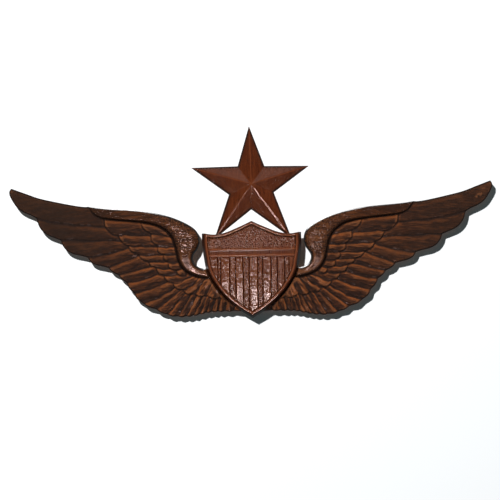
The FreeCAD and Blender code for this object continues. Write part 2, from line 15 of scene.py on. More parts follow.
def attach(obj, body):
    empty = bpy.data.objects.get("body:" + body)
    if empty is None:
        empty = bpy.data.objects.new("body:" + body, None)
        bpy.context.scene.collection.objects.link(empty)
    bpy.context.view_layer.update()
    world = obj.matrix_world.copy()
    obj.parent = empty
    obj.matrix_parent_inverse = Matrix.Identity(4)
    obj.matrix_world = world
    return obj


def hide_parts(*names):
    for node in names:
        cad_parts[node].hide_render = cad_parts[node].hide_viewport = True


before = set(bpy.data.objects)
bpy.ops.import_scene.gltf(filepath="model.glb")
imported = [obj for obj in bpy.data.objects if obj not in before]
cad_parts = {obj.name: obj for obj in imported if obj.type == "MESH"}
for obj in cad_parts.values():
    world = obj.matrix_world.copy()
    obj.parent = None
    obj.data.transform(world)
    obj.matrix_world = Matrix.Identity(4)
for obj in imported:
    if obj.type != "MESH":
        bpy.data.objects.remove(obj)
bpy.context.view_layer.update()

MM = 0.001
# Depths from the wood's back plane, in millimetres, unless said otherwise.
STANDOFF = 5.5          # wall to the wood's back
FEATHER_EDGE = 8.9      # the flight feathers' top at the trailing edge
ROOT_SWELL = 4.2        # how much higher they stand beside the shield
COVERT_LIFT, SMALL_LIFT = 1.3, 2.5
ARM_EDGE, ARM_CREST = 8.6, 10.6
HAMMER_DEPTH = 0.34
CUT_DEPTH = 0.34        # the gouged cuts beside the shield, their spacing in radians and their length
CUT_ANGLE, CUT_LENGTH = 0.036, 8
SEAT_DEPTH = 8.0        # the wood's back to the shield's back
SHIELD_DEPTH = 20.0     # the wood's back to the shield's rim
COARSER = 1
WING_CELL = 0.42 * COARSER
SHIELD_CELL = 0.31 * COARSER


def chained(start, runs):
    """Curves end to end: each run of points with the last point before it put in front."""
    curves = []
    for run in runs:
        curves.append([start, *run])
        start = run[-1]
    return curves


def from_ends(edges, runs):
    """Lines that start where the edges end."""
    return [[edge[-1], *run] for edge, run in zip(edges, runs)]


# ---------------- the right wing's lines
TOP_EDGE = [(226.7, 52.5), (213, 47.4), (200, 42.7), (180, 38), (165, 35), (157, 34), (154, 34.2)]
ARM_TOP = [(154, 34.2), (140, 32.4), (110, 30), (90, 26.8), (75, 22.6),
           (62, 16.8), (53.6, 11), (50, 5), (49.2, -2)]
ARM_HOOK = [(49.2, -2), (51.6, -8), (55, -12.5), (56, -17), (54.3, -21.7), (50.5, -25), (46, -26.4)]
TIP_EDGE = [(226.7, 52.5), (228.4, 49.6), (228.2, 46)]
# The trailing edge of each flight feather, from the tip of the wing inwards.
FLIGHT_EDGES = chained((228.2, 46), [
    [(225.4, 40.4), (220.6, 33.6), (214.5, 29.4), (208, 26.6), (203, 23.6)],
    [(200.8, 16.4), (197.2, 11.2), (192.4, 7.6), (186, 4.9), (180.5, 2.6)],
    [(178.6, -2.4), (174.8, -7.2), (169, -10.4), (161.5, -12.2), (155.3, -14)],
    [(152.4, -18.4), (147.8, -21), (141.6, -22.6), (136, -24)], [(132.4, -28), (126.6, -31)],
    [(123.6, -35), (119, -38.4)], [(116.6, -43.8), (112, -48.5)], [(109.4, -53.8), (103.4, -58.4)],
    [(98.4, -62), (91.5, -64)], [(87, -67.2), (81, -69)], [(76.4, -71), (71, -71)], [(67, -72), (63, -71)],
    [(59.6, -71.6), (56.5, -70.4)], [(53.4, -70.7), (50.5, -69.2)], [(47.4, -69.3), (44.5, -67.9)],
    [(41.6, -68.2), (38.8, -67)], [(35.8, -67.8), (33, -66.8)], [(29.6, -67.6), (26.5, -66.7)],
    [(22, -67.4), (18, -66.7)], [(10, -67.2), (0.05, -66.6)],
])
# The line between each flight feather and the next: trailing edge, middle, and end under the coverts.
FLIGHT_LINES = from_ends(FLIGHT_EDGES, [
    [(181, 18.6), (160, 16.2), (136, 14.2)], [(158.7, 2), (126, 1.2)], [(135, -10.8), (113, -4)],
    [(118.3, -17.6), (105, -11.5)], [(114, -28.3), (95, -23)], [(108, -37), (87, -30.5)],
    [(98, -45.5), (78, -37.5)], [(90, -53.5), (71, -43)], [(83, -58), (66, -45)], [(76, -63.5), (61, -46)],
    [(66.5, -64.5), (55.5, -47)], [(58.5, -64), (50.5, -47)], [(51.8, -63), (45.5, -48)],
    [(46.4, -61.5), (41.5, -48)], [(41.4, -61), (37.5, -48)], [(36.4, -60), (33.5, -48)],
    [(31, -60), (29, -48)], [(25, -60), (24, -48)], [(17.5, -60), (17, -48)],
])
# The long coverts' tips and the lines between them, in the same way.
COVERT_EDGES = chained((139.6, 22.4), [
    [(137.6, 14.4), (132.4, 8.6), (126, 6.6)], [(123, 0.6), (116.6, -3.6)], [(113, -9), (106.6, -12.2)],
    [(103.6, -16.6), (97.4, -18.9)], [(95, -22.8), (90.6, -25)], [(88.4, -30.2), (83.2, -32.6)],
    [(80.6, -37.4), (74.6, -39.8)], [(71.6, -44), (65, -46)], [(61.6, -49.4), (54.6, -49.9)],
    [(50, -52.8), (43, -52)], [(38, -55), (31.5, -54)], [(26, -56.5), (20, -55)],
])
COVERT_LINES = from_ends(COVERT_EDGES, [
    [(108, 6.2), (88, 4.6)], [(104, -4.4), (82, -4.8)], [(97, -13), (78, -12.4)], [(89, -19.6), (74, -18.6)],
    [(83, -26.2), (70, -25)], [(76, -33), (62, -29)], [(68, -39), (54, -31.5)], [(60, -43.6), (48.5, -33)],
    [(51.5, -46.5), (43, -34)], [(41, -47), (36, -34)], [(30.5, -48), (28, -34)],
])
COVERT_ROOTS = [(20, -55), (20, -31), (44, -31), (60, -22), (64, 2),
                (82, 16), (104, 23), (137, 26), (139.6, 22.4)]
# The small coverts, in the same way.
SMALL_EDGES = chained((104, 18.6), [
    [(101.4, 11.8), (95, 6.8)], [(94, 0.4), (88.6, -4.6)], [(87.8, -9.8), (83.2, -12.8)],
    [(83, -17), (78.2, -20)], [(77.6, -25), (72, -28.2)], [(69, -32), (63, -33)],
])
SMALL_LINES = from_ends(SMALL_EDGES, [
    [(87, 5.8), (76, 4)], [(81, -5.6), (70, -5)], [(77, -13.2), (67, -12.2)], [(73, -20.2), (64, -18)],
    [(68, -27.4), (60, -23)],
])
SMALL_ROOTS = [(63, -33), (62, -28), (60, -22), (65, 2), (82, 17), (102, 24), (104, 18.6)]
# The groove that parts the arm from the feathers, from the arm's outer end to the shield.
ARM_GROOVE = [
    (154, 34.2), (149, 27.2), (142, 23.4), (130, 21.6), (110, 19.6), (95, 16.9), (85, 12.8), (77, 6),
    (73, -2.5), (71, -11), (69, -19.5), (64, -27.4), (56, -32.4), (48, -34.9), (41, -35.5),
]
ROOT_TOP = -26.4            # the root's straight top edge, behind the shield
FAN_MIDDLE = (24, -16)      # the inmost feathers' cuts fan out from here
TIP_HIGHLIGHT_SPOT = (216.5, 40.0)   # a painted highlight, a light patch near the right tip
LEFT_SEED, RIGHT_SEED = 100, 200
CENTRE_GAP = 0.05           # from the centreline to each root
# The shield.
SHIELD_TOP = [(0, 18), (12, 12.6), (26, 7.2), (38, 5.7), (47, 7)]
SHIELD_SIDE = [(47, 7), (46.9, -4), (45.6, -15), (43, -28.6),
               (37.5, -39.7), (28.5, -52), (14.5, -64.6), (0, -73.8)]
SHIELD_DRAFT = 2.3          # how far the front's outline lies inside the back's
RIM_WIDTH = 3.4
FIELD_DROP = 1.15           # from the rim down to the field
CHIEF_FOOT = -8.2           # the punched field ends here, and a bar between two ribs begins
BAR_TOP, BAR_MIDDLE, BAR_FOOT = -8.7, -11.5, -14.4
STRIPE_TOP = -15.9
FOOT_BEND, BEND_START = 0.0022, -34     # how the face falls away towards the lower point
# The raised stripes: middle and width of each.
STRIPES = [(-36.4, 7.7), (-25.4, 8.2), (-11.9, 6.5), (1.4, 7.6), (14, 7.2), (27.3, 6.3), (39, 7.6)]
# The star's corners, clockwise from the top, and the point its facets rise to.
STAR_CORNERS = [(-0.7, 108), (13.3, 69.8), (55.4, 69.3), (21.7, 44.7), (37.9, 1.2),
                (0.3, 29), (-35.2, 1.5), (-20.7, 43.2), (-56, 69.2), (-12, 70)]
STAR_APEX = (0.6, 53)
STAR_EDGE_DEPTH, STAR_APEX_DEPTH = 7.0, 13.0
STAR_STEPS = 72             # rows of small faces in each facet
# The screw holes in the backs of the wing roots: a countersink and a bore.
ROOT_SCREW = (25, -37)
SINK_RADIUS, SINK_DEPTH = 3.45, 2.2
BORE_RADIUS, BORE_DEPTH = 1.8, 7.2


# ---------------- plane geometry
def smooth_curve(points, step=1.2):
    """Points along a Catmull-Rom curve through the given ones, about a step apart."""
    p = np.array(points, float)
    p = np.vstack([2 * p[0] - p[1], p, 2 * p[-1] - p[-2]])
    out = []
    for i in range(1, len(p) - 2):
        length = np.linalg.norm(p[i + 1] - p[i])
        count = max(2, int(round(length / step)))
        u = np.arange(count)[:, None] / count
        a, b, c, d = p[i - 1], p[i], p[i + 1], p[i + 2]
        out.append(0.5 * (2 * b + (c - a) * u + (2 * a - 5 * b + 4 * c - d) * u ** 2
                          + (3 * b - a - 3 * c + d) * u ** 3))
    out.append(p[-2:-1])
    return np.vstack(out)


def joined(smooth, *straight):
    """One closed ring of curves to be smoothed and then plain runs, each from the end of the last."""
    runs = [*map(smooth_curve, smooth), *straight]
    return np.vstack([np.asarray(run, float)[:-1] for run in runs])


def line_distance(points, line, closed=False):
    """Distance to a polyline, and which side of it each point is on: positive to its left."""
    ends = np.vstack([line, line[:1]]) if closed else line
    best = np.full(len(points), 1e18)
    side = np.ones(len(points))
    for a, b in zip(ends, ends[1:]):
        d = b - a
        length2 = max(float(d @ d), 1e-12)
        q = points - a
        t = unit((q @ d) / length2)
        gap = q - t[:, None] * d
        dist = np.einsum("ij,ij->i", gap, gap)
        nearer = dist < best - 1e-12
        best[nearer] = dist[nearer]
        side[nearer] = np.sign(d[0] * q[nearer, 1] - d[1] * q[nearer, 0])
    return np.sqrt(best), side


def inside_distance(points, ring):
    """Signed distance to a closed ring, positive inside it."""
    dist, _ = line_distance(points, ring, closed=True)
    inside = np.zeros(len(points), bool)
    for a, b in zip(ring, np.roll(ring, -1, axis=0)):
        crosses = (a[1] > points[:, 1]) != (b[1] > points[:, 1])
        if a[1] != b[1]:
            at = a[0] + (points[:, 1] - a[1]) * (b[0] - a[0]) / (b[1] - a[1])
            inside ^= crosses & (points[:, 0] < at)
    return np.where(inside, dist, -dist)


def stretched(line, reach=60.0):
    """The same line, run on straight at both ends."""
    head, tail = (end + (end - near) / np.linalg.norm(end - near) * reach
                  for end, near in ((line[0], line[1]), (line[-1], line[-2])))
    return np.vstack([head, line, tail])


def ease(low, high, value):
    """0 below low, 1 above high and a smooth step between."""
    t = unit((value - low) / (high - low))
    return t * t * (3 - 2 * t)


def bell(value, width):
    """1 where the value is 0, falling away to either side."""
    return np.exp(-(value / width) ** 2)


def unit(value):
    """The value kept between 0 and 1."""
    return np.clip(value, 0, 1)


def blend(under, over, share):
    """One value, and another laid over it by its share."""
    return under * (1 - share) + over * share


def noise(x, z, seed):
    """Smooth lattice noise from -1 to 1, one lattice step per unit."""
    table = np.random.default_rng(seed).random((256, 256)) * 2 - 1
    xi, zi = np.floor(x).astype(int), np.floor(z).astype(int)
    u, v = [t * t * (3 - 2 * t) for t in (x - xi, z - zi)]
    xi, zi, xj, zj = xi % 256, zi % 256, (xi + 1) % 256, (zi + 1) % 256
    low = table[xi, zi] * (1 - u) + table[xj, zi] * u
    high = table[xi, zj] * (1 - u) + table[xj, zj] * u
    return low * (1 - v) + high * v


def rough(points, size, seed):
    """Three octaves of noise whose largest bumps are about size across."""
    x, z = points.T / size
    middle, small = noise(2.1 * x, 2.1 * z, seed + 1), noise(4.3 * x, 4.3 * z, seed + 2)
    return (noise(x, z, seed) + 0.5 * middle + 0.25 * small) / 1.75


# ---------------- carved feathers
class Tier:
    """Feathers between given lines: which one each point is on, and how far from the lines beside it."""

    def __init__(self, points, first_line, lines, last_line, ring=None):
        bounds = [stretched(smooth_curve(line, 3.0)) for line in [first_line, *lines, last_line]]
        self.edge = inside_distance(points, ring) if ring is not None else None
        self.near = np.arange(len(points)) if ring is None else np.nonzero(self.edge > -3)[0]
        near = points[self.near]
        dist, side = zip(*[line_distance(near, line) for line in bounds])
        dist, side = np.array(dist), np.array(side)
        self.strip = np.clip((side > 0).sum(axis=0), 1, len(bounds) - 1)
        index = np.arange(len(near))
        self.upper, self.lower = dist[self.strip - 1, index], dist[self.strip, index]
        directions = np.array([bound[-2] - bound[1] for bound in bounds])
        directions /= np.linalg.norm(directions, axis=1)[:, None]
        self.along = np.einsum("ij,ij->i", near, directions[self.strip])

    def profile(self, seed, depth, gouge):
        """How far the feathers lie below the tier's top, their painted shade and their warmth with painted
        light. Each rises quickly from under its upper neighbour to a crest and rolls down to its own lower
        edge; the part that rolls down is painted darker as shade, and a band under the upper edge is painted
        warm as light."""
        upper, lower, strip, along = self.upper, self.lower, self.strip, self.along
        width = upper + lower + 1e-6
        crest = 0.30 + 0.07 * noise(3.7 * strip, along / 25, seed + 5)
        t = upper / width
        rising = unit(1 - t / crest) ** 1.5
        falling = unit((t - crest) / (1 - crest)) ** 1.4
        slope = np.clip(width / 7.0, 0.5, 1.0)
        drop = depth * slope * (0.75 * rising + 0.95 * falling)
        wide = 1.3 * noise(upper / 1.9 + 13.7 * strip, along / 9 + 3.1 * strip, seed)
        fine = 1.5 * noise(upper / 0.9 + 7.3 * strip, along / 4.5, seed + 1)
        broken = unit(0.75 + 0.5 * noise(along / 6, 5.3 * strip, seed + 2))
        drop += 0.25 * broken * bell(lower, 0.5) + gouge * (wide + 0.8 * fine)
        # painted shade: each feather's lower part, which rolls away from the light, is painted darker, with
        # dark streaks
        shade = unit((t - 0.22) / 0.7)
        dark = 0.85 * shade * (0.90 + 0.80 * wide + 0.70 * fine) + 0.45 * unit(-wide * fine)
        # painted shade: dark lines in the creases where one feather tucks under the next
        parting = bell(lower, 0.9) + bell(upper, 0.5)
        self.line = unit(2.0 * broken * parting)
        # painted light: a warm orange band just below each feather's upper edge, where it faces the light,
        # plus warm streaks
        warmth_and_painted_light = bell(t - 0.16, 0.11) * (0.85 + 0.75 * wide + 0.70 * fine)
        warmth_and_painted_light += 0.5 * ease(0.2, 1.1, fine) * (0.4 + falling)
        self.turned_down = t
        sparse = ease(0.1, 0.6, noise(along / 3.1, 9.1 * strip, seed + 4))
        self.polish = 1.1 * sparse * bell(lower - 1.1, 0.7)
        return drop, np.clip(dark, 0, 0.9), unit(warmth_and_painted_light)


def wing_lines():
    """The wing's outline and the other rings and lines of its carving."""
    outline = joined([ARM_HOOK[::-1], ARM_TOP[::-1], TOP_EDGE[::-1], TIP_EDGE, *FLIGHT_EDGES],
                     [(CENTRE_GAP, -66.6), (CENTRE_GAP, ROOT_TOP), (46, ROOT_TOP)])
    coverts = joined(COVERT_EDGES, COVERT_ROOTS)
    small = joined(SMALL_EDGES, SMALL_ROOTS)
    groove = smooth_curve(ARM_GROOVE)
    arm = joined([ARM_TOP, ARM_HOOK], [(46, ROOT_TOP), (38, ROOT_TOP), (38, -35.5), (41, -35.5)],
                 groove[::-1])
    return outline, coverts, small, arm, groove


def shield_ring(widen=0.0):
    """The shield's outline at its back, as a closed ring."""
    right = np.vstack([smooth_curve(SHIELD_TOP, 1.0)[:-1], smooth_curve(SHIELD_SIDE, 1.0)])
    left = right[-2:0:-1] * np.array([-1, 1])
    ring = np.vstack([right, left])
    outward = ring - np.array([0, -20])
    return ring + widen * outward / np.linalg.norm(outward, axis=1)[:, None]


class WingSurvey:
    """Where each point of the wing's sheet lies among its feathers, arm and edges, for both wings."""

    def __init__(self, points, rings):
        outline, coverts, small, arm, groove = rings
        self.points = points
        self.edge = inside_distance(points, outline)
        self.arm_edge = inside_distance(points, arm)
        self.groove_gap = line_distance(points, groove)[0]
        self.under_shield = inside_distance(points, shield_ring(0.5)) > 0
        waver = np.column_stack([rough(points, 7, 801), rough(points, 7, 811)])
        reach = 0.9 + 0.5 * ease(80, 45, points[:, 0])
        cut = points + (reach * ease(0.5, 6, self.edge))[:, None] * waver
        self.flights = Tier(cut, TOP_EDGE[:-1] + [(140, 33)], FLIGHT_LINES, [(0.5, -66.6), (0.5, -48)])
        self.coverts = Tier(cut, [(139.6, 22.4), (100, 19), (80, 12)], COVERT_LINES, [(20, -55), (20, -34)],
                            coverts)
        self.small = Tier(cut, [(104, 18.6), (90, 16), (74, 11)], SMALL_LINES, [(63, -33), (57, -27)], small)


def wing_surface(survey, seed):
    """The carved surface's depth at each point, the arm's share there, its light specks of painted highlight
    and its shading values, which carry painted light and shade.
    """
    points, edge, arm_edge, flights = survey.points, survey.edge, survey.arm_edge, survey.flights
    x, z = points.T
    body = FEATHER_EDGE + 1.2 * ease(0, 34, edge) + ROOT_SWELL * ease(64, 40, x) * ease(0, 16, edge)
    inner = ease(165, 105, x)
    drop, stain, warmth_and_painted_light = flights.profile(seed, 0.65 + 0.75 * inner, 0.05 + 0.17 * inner)
    # painted shade: dark parting lines with a shallow groove between the outer flight feathers, joined with
    # the feathers' own painted shade and crease lines
    outer_line = 0.95 * (1 - inner) * bell(np.minimum(flights.upper, flights.lower), 1.2)
    height = body - drop - 0.4 * outer_line
    stain = np.max([stain * (0.35 + 0.65 * inner), flights.line, outer_line], axis=0)
    warmth_and_painted_light *= 0.45 + 0.55 * inner
    polish = flights.polish.copy()

    for tier, lift, tier_seed in ((survey.coverts, COVERT_LIFT, 11), (survey.small, SMALL_LIFT, 23)):
        near = tier.near
        tier_edge = tier.edge[near]
        drop, dark, glow = tier.profile(seed + tier_seed, 1.25, 0.22)
        top = body[near] + lift - drop - 0.5 * (1 - ease(0, 1.4, tier_edge))
        share = ease(-0.45, 0.45, tier_edge)
        outside = np.where(tier_edge < 0.2, bell(tier_edge, 1.1), 0)
        height[near] = blend(height[near] - 0.4 * outside, top, share)
        broken = unit(0.75 + 0.6 * noise(x[near] / 5, z[near] / 5, seed + 3))
        # painted shade: the lower, downward-facing edges of the covert tips are painted dark
        rim = broken * (0.3 + 0.7 * ease(0.1, 0.6, tier.turned_down)) * bell(tier_edge + 0.35, 0.75)
        stain[near] = np.maximum(blend(stain[near], np.maximum(dark, tier.line), share), 0.9 * rim)
        # painted highlight: a warm light line just outside each covert tip
        warmth_and_painted_light[near] = blend(warmth_and_painted_light[near], glow, share) + 0.8 * broken * bell(tier_edge + 1.8, 0.6)
        polish[near] = blend(polish[near], tier.polish, share)

    fan_x, fan_z = (points - FAN_MIDDLE).T
    cuts = 1.15 * noise(np.arctan2(fan_x, -fan_z) / CUT_ANGLE, np.hypot(fan_x, fan_z) / CUT_LENGTH, seed + 80)
    cuts *= ease(84, 60, x) * ease(-26, -36, z)
    height += CUT_DEPTH * cuts
    # painted shade in the hollows of the cuts, painted light on their crests
    stain = np.maximum(stain, 0.9 * ease(-0.15, -0.8, cuts))
    warmth_and_painted_light = np.maximum(warmth_and_painted_light, 0.8 * ease(0.2, 0.8, cuts))
    patches = ease(0, 0.4, noise(x / 4, z / 4, seed + 81))
    polish = np.maximum(polish, ease(0.35, 0.6, cuts) * patches)

    groove_depth = ease(156, 132, x)
    groove = bell(survey.groove_gap, 1.0)
    height -= np.where(arm_edge < 0, (0.4 + 1.7 * groove_depth) * groove, 0)
    share = ease(-0.3, 0.3, arm_edge)
    shoulder = ease(112, 72, x)
    hook = ease(-9, -18, z) * ease(80, 72, x)
    reach = 1.6 + 4.6 * shoulder - 2.9 * ease(-6, -20, z) * shoulder
    swell = np.sqrt(unit(1 - (1 - unit(arm_edge / reach)) ** 2))
    crest = ARM_CREST + 2.4 * ease(152, 120, x) + 2.4 * shoulder - 1.8 * ease(-16, -30, z) * (x < 75)
    hammered = stipple(points, 1.5, seed + 45) * (1 - hook)
    arm_inside = ease(0.5, 3, arm_edge)
    arm_height = ARM_EDGE + (crest - ARM_EDGE) * swell
    arm_height += (0.05 + 0.10 * shoulder) * rough(points, 3.4, seed + 40) * arm_inside * (1 - hook)
    arm_height -= HAMMER_DEPTH * shoulder * hammered * arm_inside
    height = blend(height, arm_height, share)
    # the arm's darkening: an even base tone, with painted shade in the hammered dimples and along its falling
    # edges
    arm_stain_and_shade = 0.24 + 0.45 * shoulder * hammered + 0.75 * bell(arm_edge, 0.8 + 2.4 * shoulder)
    # painted shade in the groove under the arm
    groove_dark = bell(survey.groove_gap, 0.6 + 0.4 * groove_depth) * ease(159, 150, x)
    stain = np.maximum(blend(stain, arm_stain_and_shade, share), groove_dark * (0.6 + 0.5 * groove_depth))
    warmth_and_painted_light = blend(warmth_and_painted_light, 0.12, share)

    height += 0.10 * rough(points, 9, seed + 50) + 0.10 * rough(points, 2.4, seed + 60)
    height -= 1.0 - ease(0, 1.5, edge)
    stain = np.maximum(stain, bell(edge, 1.8))
    height = np.where(survey.under_shield, SEAT_DEPTH - 0.02, height)
    matt = unit(1 - share - 0.9 * polish) - share * (0.12 - 0.30 * hook * ease(55, 61, x))
    ridge = bell(arm_edge - 3.6, 1.2)
    # painted highlights: light specks between the knob's dimples, along the hook's ridge and on the cuts'
    # crests
    specks = (0.9 * (0.37 - hammered) * (1 - hook) + 0.45 * hook * ridge) * shoulder * share
    specks += 0.35 * ease(0.3, 0.8, cuts) * (1 - share)
    if seed == RIGHT_SEED:
        # a painted highlight: a light patch near the right tip
        along, across = ((points - TIP_HIGHLIGHT_SPOT) @ np.array([(0.70, -0.71), (0.71, 0.70)])).T
        specks += bell(along, 7) * bell(across, 2.4) * ease(-0.5, 0.5, rough(points, 2.2, 97))
    return height, share, specks, {"stain": unit(stain), "warmth_and_painted_light": unit(warmth_and_painted_light), "matt": matt}


# ---------------- relief meshes
def in_scene(name, data):
    """A new object in the scene."""
    thing = bpy.data.objects.new(name, data)
    bpy.context.scene.collection.objects.link(thing)
    return thing


def relief_sheet(ring, cell):
    """A grid cut exactly to a closed ring: points, faces and the boundary loops as point indices."""
    low, high = ring.min(axis=0) - 1.5 * cell, ring.max(axis=0) + 1.5 * cell
    columns, rows = [int(math.ceil(n)) + 1 for n in (high - low) / cell]
    gx, gz = np.meshgrid(low[0] + cell * np.arange(columns), low[1] + cell * np.arange(rows), indexing="ij")
    grid = np.column_stack([gx.ravel(), gz.ravel()])
    phi = inside_distance(grid, ring)
    phi = np.where(np.abs(phi) < 0.05 * cell, np.where(phi < 0, -0.05, 0.05) * cell, phi)
    keep = phi > 0
    kept = int(keep.sum())
    number = np.full(len(grid), -1)
    number[keep] = np.arange(kept)
    extra, cuts = [], {}

    def cut(a, b):
        key = (a, b) if a < b else (b, a)
        if key not in cuts:
            t = phi[a] / (phi[a] - phi[b])
            cuts[key] = kept + len(extra)
            extra.append(grid[a] + t * (grid[b] - grid[a]))
        return cuts[key]

    i, j = np.meshgrid(np.arange(columns - 1), np.arange(rows - 1), indexing="ij")
    corner = (i * rows + j).ravel()
    corners = np.column_stack([corner, corner + rows, corner + rows + 1, corner + 1])
    inside = keep[corners].sum(axis=1)
    faces = [tuple(number[c]) for c in corners[inside == 4]]
    follow = {}
    for quad in corners[(inside > 0) & (inside < 4)]:
        face, kinds = [], []
        for a, b in zip(quad, np.roll(quad, -1)):
            if keep[a]:
                face.append(int(number[a]))
                kinds.append(0)
            if keep[a] != keep[b]:
                face.append(cut(a, b))
                kinds.append(1 if keep[a] else 2)
        parts = [(face, kinds)]
        if kinds.count(1) == 2:
            first = kinds.index(2)
            face, kinds = face[first:] + face[:first], kinds[first:] + kinds[:first]
            second = kinds.index(2, 1)
            parts = [(face[:second], kinds[:second]), (face[second:], kinds[second:])]
        for face, kinds in parts:
            faces.append(tuple(face))
            follow[face[kinds.index(1)]] = face[kinds.index(2)]
    loops = []
    while follow:
        start = next(iter(follow))
        loop = [start]
        while loop[-1] in follow:
            loop.append(follow.pop(loop[-1]))
        loops.append(loop[:-1])
    return np.vstack([grid[keep], extra]), faces, loops


def outward_normals(loop_points):
    """Unit normals of a closed loop, pointing out of it."""
    along = np.roll(loop_points, -1, axis=0) - np.roll(loop_points, 1, axis=0)
    normals = np.column_stack([along[:, 1], -along[:, 0]])
    normals /= np.linalg.norm(normals, axis=1)[:, None] + 1e-9
    x, z = loop_points.T
    area = np.sum(x * np.roll(z, -1) - np.roll(x, -1) * z)
    return normals * np.sign(area)


def blurred(values, points, cell, radius):
    """The values averaged over a square of about the given radius, read back at the points."""
    low = points.min(axis=0)
    place = np.round((points - low) / cell).astype(int)
    shape = place.max(axis=0) + 1
    total, count = np.zeros(shape), np.zeros(shape)
    np.add.at(total, (place[:, 0], place[:, 1]), values)
    np.add.at(count, (place[:, 0], place[:, 1]), 1)
    reach = max(1, int(round(radius / cell)))
    for _ in range(2):
        total, count = box_sum(total, reach), box_sum(count, reach)
    return (total / np.maximum(count, 1e-9))[place[:, 0], place[:, 1]]


def box_sum(grid, reach):
    """Sums over squares of 2 * reach + 1 cells a side."""
    for axis, size in enumerate(grid.shape):
        padding = [(0, 0), (0, 0)]
        padding[axis] = (reach + 1, reach)
        total = np.cumsum(np.pad(grid, padding), axis=axis)
        high = np.take(total, np.arange(2 * reach + 1, 2 * reach + 1 + size), axis=axis)
        grid = high - np.take(total, np.arange(size), axis=axis)
    return grid


class Solid:
    """Vertices, faces and per-vertex shading values of a carved piece, in millimetres."""

    def __init__(self):
        self.vertices, self.faces, self.values = [], [], {}
        self.count = 0

    def add(self, plan, depth, **values):
        """Adds points given by their x, z plan and depth, and returns their indices."""
        self.vertices.append(np.column_stack([plan[:, 0], depth, plan[:, 1]]))
        for name in ("stain", "rise", "warmth_and_painted_light", "matt", "back"):
            value = values.get(name, 0.0)
            self.values.setdefault(name, []).append(np.broadcast_to(value, len(plan)))
        self.count += len(plan)
        return list(range(self.count - len(plan), self.count))

    def ring_faces(self, a, b):
        """Quads between two loops of vertex indices of the same length."""
        self.faces += [(a[i], a[(i + 1) % len(a)], b[(i + 1) % len(b)], b[i]) for i in range(len(a))]

    def make(self, node, side, smooth_degrees):
        """The carving that replaces a CAD node: on the right for side 1, mirrored to the left for -1."""
        name, body, slot = node + "_carving", "plaque", node + "_wood"
        v = np.vstack(self.vertices)
        xyz = np.column_stack([side * v[:, 0], -(STANDOFF + v[:, 1]), v[:, 2]]) * MM
        mesh = bpy.data.meshes.new(name)
        mesh.from_pydata(xyz.tolist(), [], self.faces)
        for key, parts in self.values.items():
            layer = mesh.attributes.new(key, "FLOAT", "POINT")
            layer.data.foreach_set("value", np.concatenate(parts).astype(np.float32))
        bm = bmesh.new()
        bm.from_mesh(mesh)
        bmesh.ops.recalc_face_normals(bm, faces=bm.faces)
        bmesh.ops.triangulate(bm, faces=[f for f in bm.faces if len(f.verts) > 4])
        for edge in bm.edges:
            if len(edge.link_faces) == 2 and edge.calc_face_angle(0) > math.radians(smooth_degrees):
                edge.smooth = False
        for face in bm.faces:
            face.smooth = True
        bm.to_mesh(mesh)
        bm.free()
        piece = in_scene(name, mesh)
        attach(piece, body)
        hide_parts(node)
        return piece


def flat_back(solid, loop, plan, holes=()):
    """Closes the back across a loop, leaving round countersunk screw holes."""
    outer = [Vector((x, z, 0)) for x, z in plan]
    rings, indices = [outer], list(loop)
    segments = 32
    angles = 2 * math.pi * np.arange(segments) / segments
    circle = np.column_stack([np.cos(angles), np.sin(angles)])
    for centre in holes:
        steps = [(SINK_RADIUS, 0.0), (BORE_RADIUS, SINK_DEPTH), (BORE_RADIUS, BORE_DEPTH)]
        loops = [solid.add(np.array(centre) + circle * radius, np.full(segments, depth), back=1.0, stain=0.2)
                 for radius, depth in steps]
        solid.ring_faces(loops[0], loops[1])
        solid.ring_faces(loops[1], loops[2])
        solid.faces.append(tuple(loops[2]))
        rings.append([Vector((x, z, 0)) for x, z in np.array(centre) + circle[::-1] * SINK_RADIUS])
        indices += loops[0][::-1]
    for triangle in tessellate_polygon(rings):
        solid.faces.append(tuple(indices[i] for i in triangle))


def close_behind(solid, loop, rows, stain, holes=()):
    """Walls from the front's boundary loop through rows of plan, depth and share of the depth, and a back."""
    previous = list(loop)
    for plan, depth, share in rows:
        ring = solid.add(plan, depth, stain=stain, back=1.0 if share == 0 else 0.0)
        solid.ring_faces(previous, ring)
        previous = ring
    flat_back(solid, previous, plan, holes)


def straight_sides(plan, front_depth, shares, chamfer):
    """Rows straight back from a loop at shares of its depth, and one at the back, drawn in."""
    back = plan - outward_normals(plan) * chamfer, front_depth * 0.0, 0
    return [(plan, front_depth * share, share) for share in shares] + [back]


def add_wing(node, side, sheet, survey, seed):
    points, faces, loops = sheet
    height, arm, specks, shading = wing_surface(survey, seed)
    # rise: how far a point stands above its surroundings, plus the painted highlight specks; the shader
    # lightens crests and paints hollows darker as shade
    rise = (height - blurred(height, points, WING_CELL, 1.6)) * (1 - 0.75 * arm) + specks
    solid = Solid()
    solid.add(points, height, rise=rise, **shading)
    solid.faces += faces
    loop = max(loops, key=len)
    rows = straight_sides(points[loop], height[loop], (0.93, 0.55, 0.09), 0.5)
    close_behind(solid, loop, rows, 0.75, holes=[ROOT_SCREW])
    return solid.make(node, side, 50)


# ---------------- the shield
SHIELD_HALF_WIDTH, SHIELD_SHOULDER = SHIELD_TOP[-1]
SHIELD_DROP = SHIELD_SHOULDER - SHIELD_SIDE[-1][1]


def taper(plan, share):
    """Moves points from the shield's back outline towards its front outline; share 1 is the front."""
    draft = SHIELD_DRAFT * share
    x = plan[:, 0] * (1 - draft / SHIELD_HALF_WIDTH)
    z = plan[:, 1] + np.clip(SHIELD_SHOULDER - plan[:, 1], 0, None) * draft / SHIELD_DROP
    return np.column_stack([x, z])


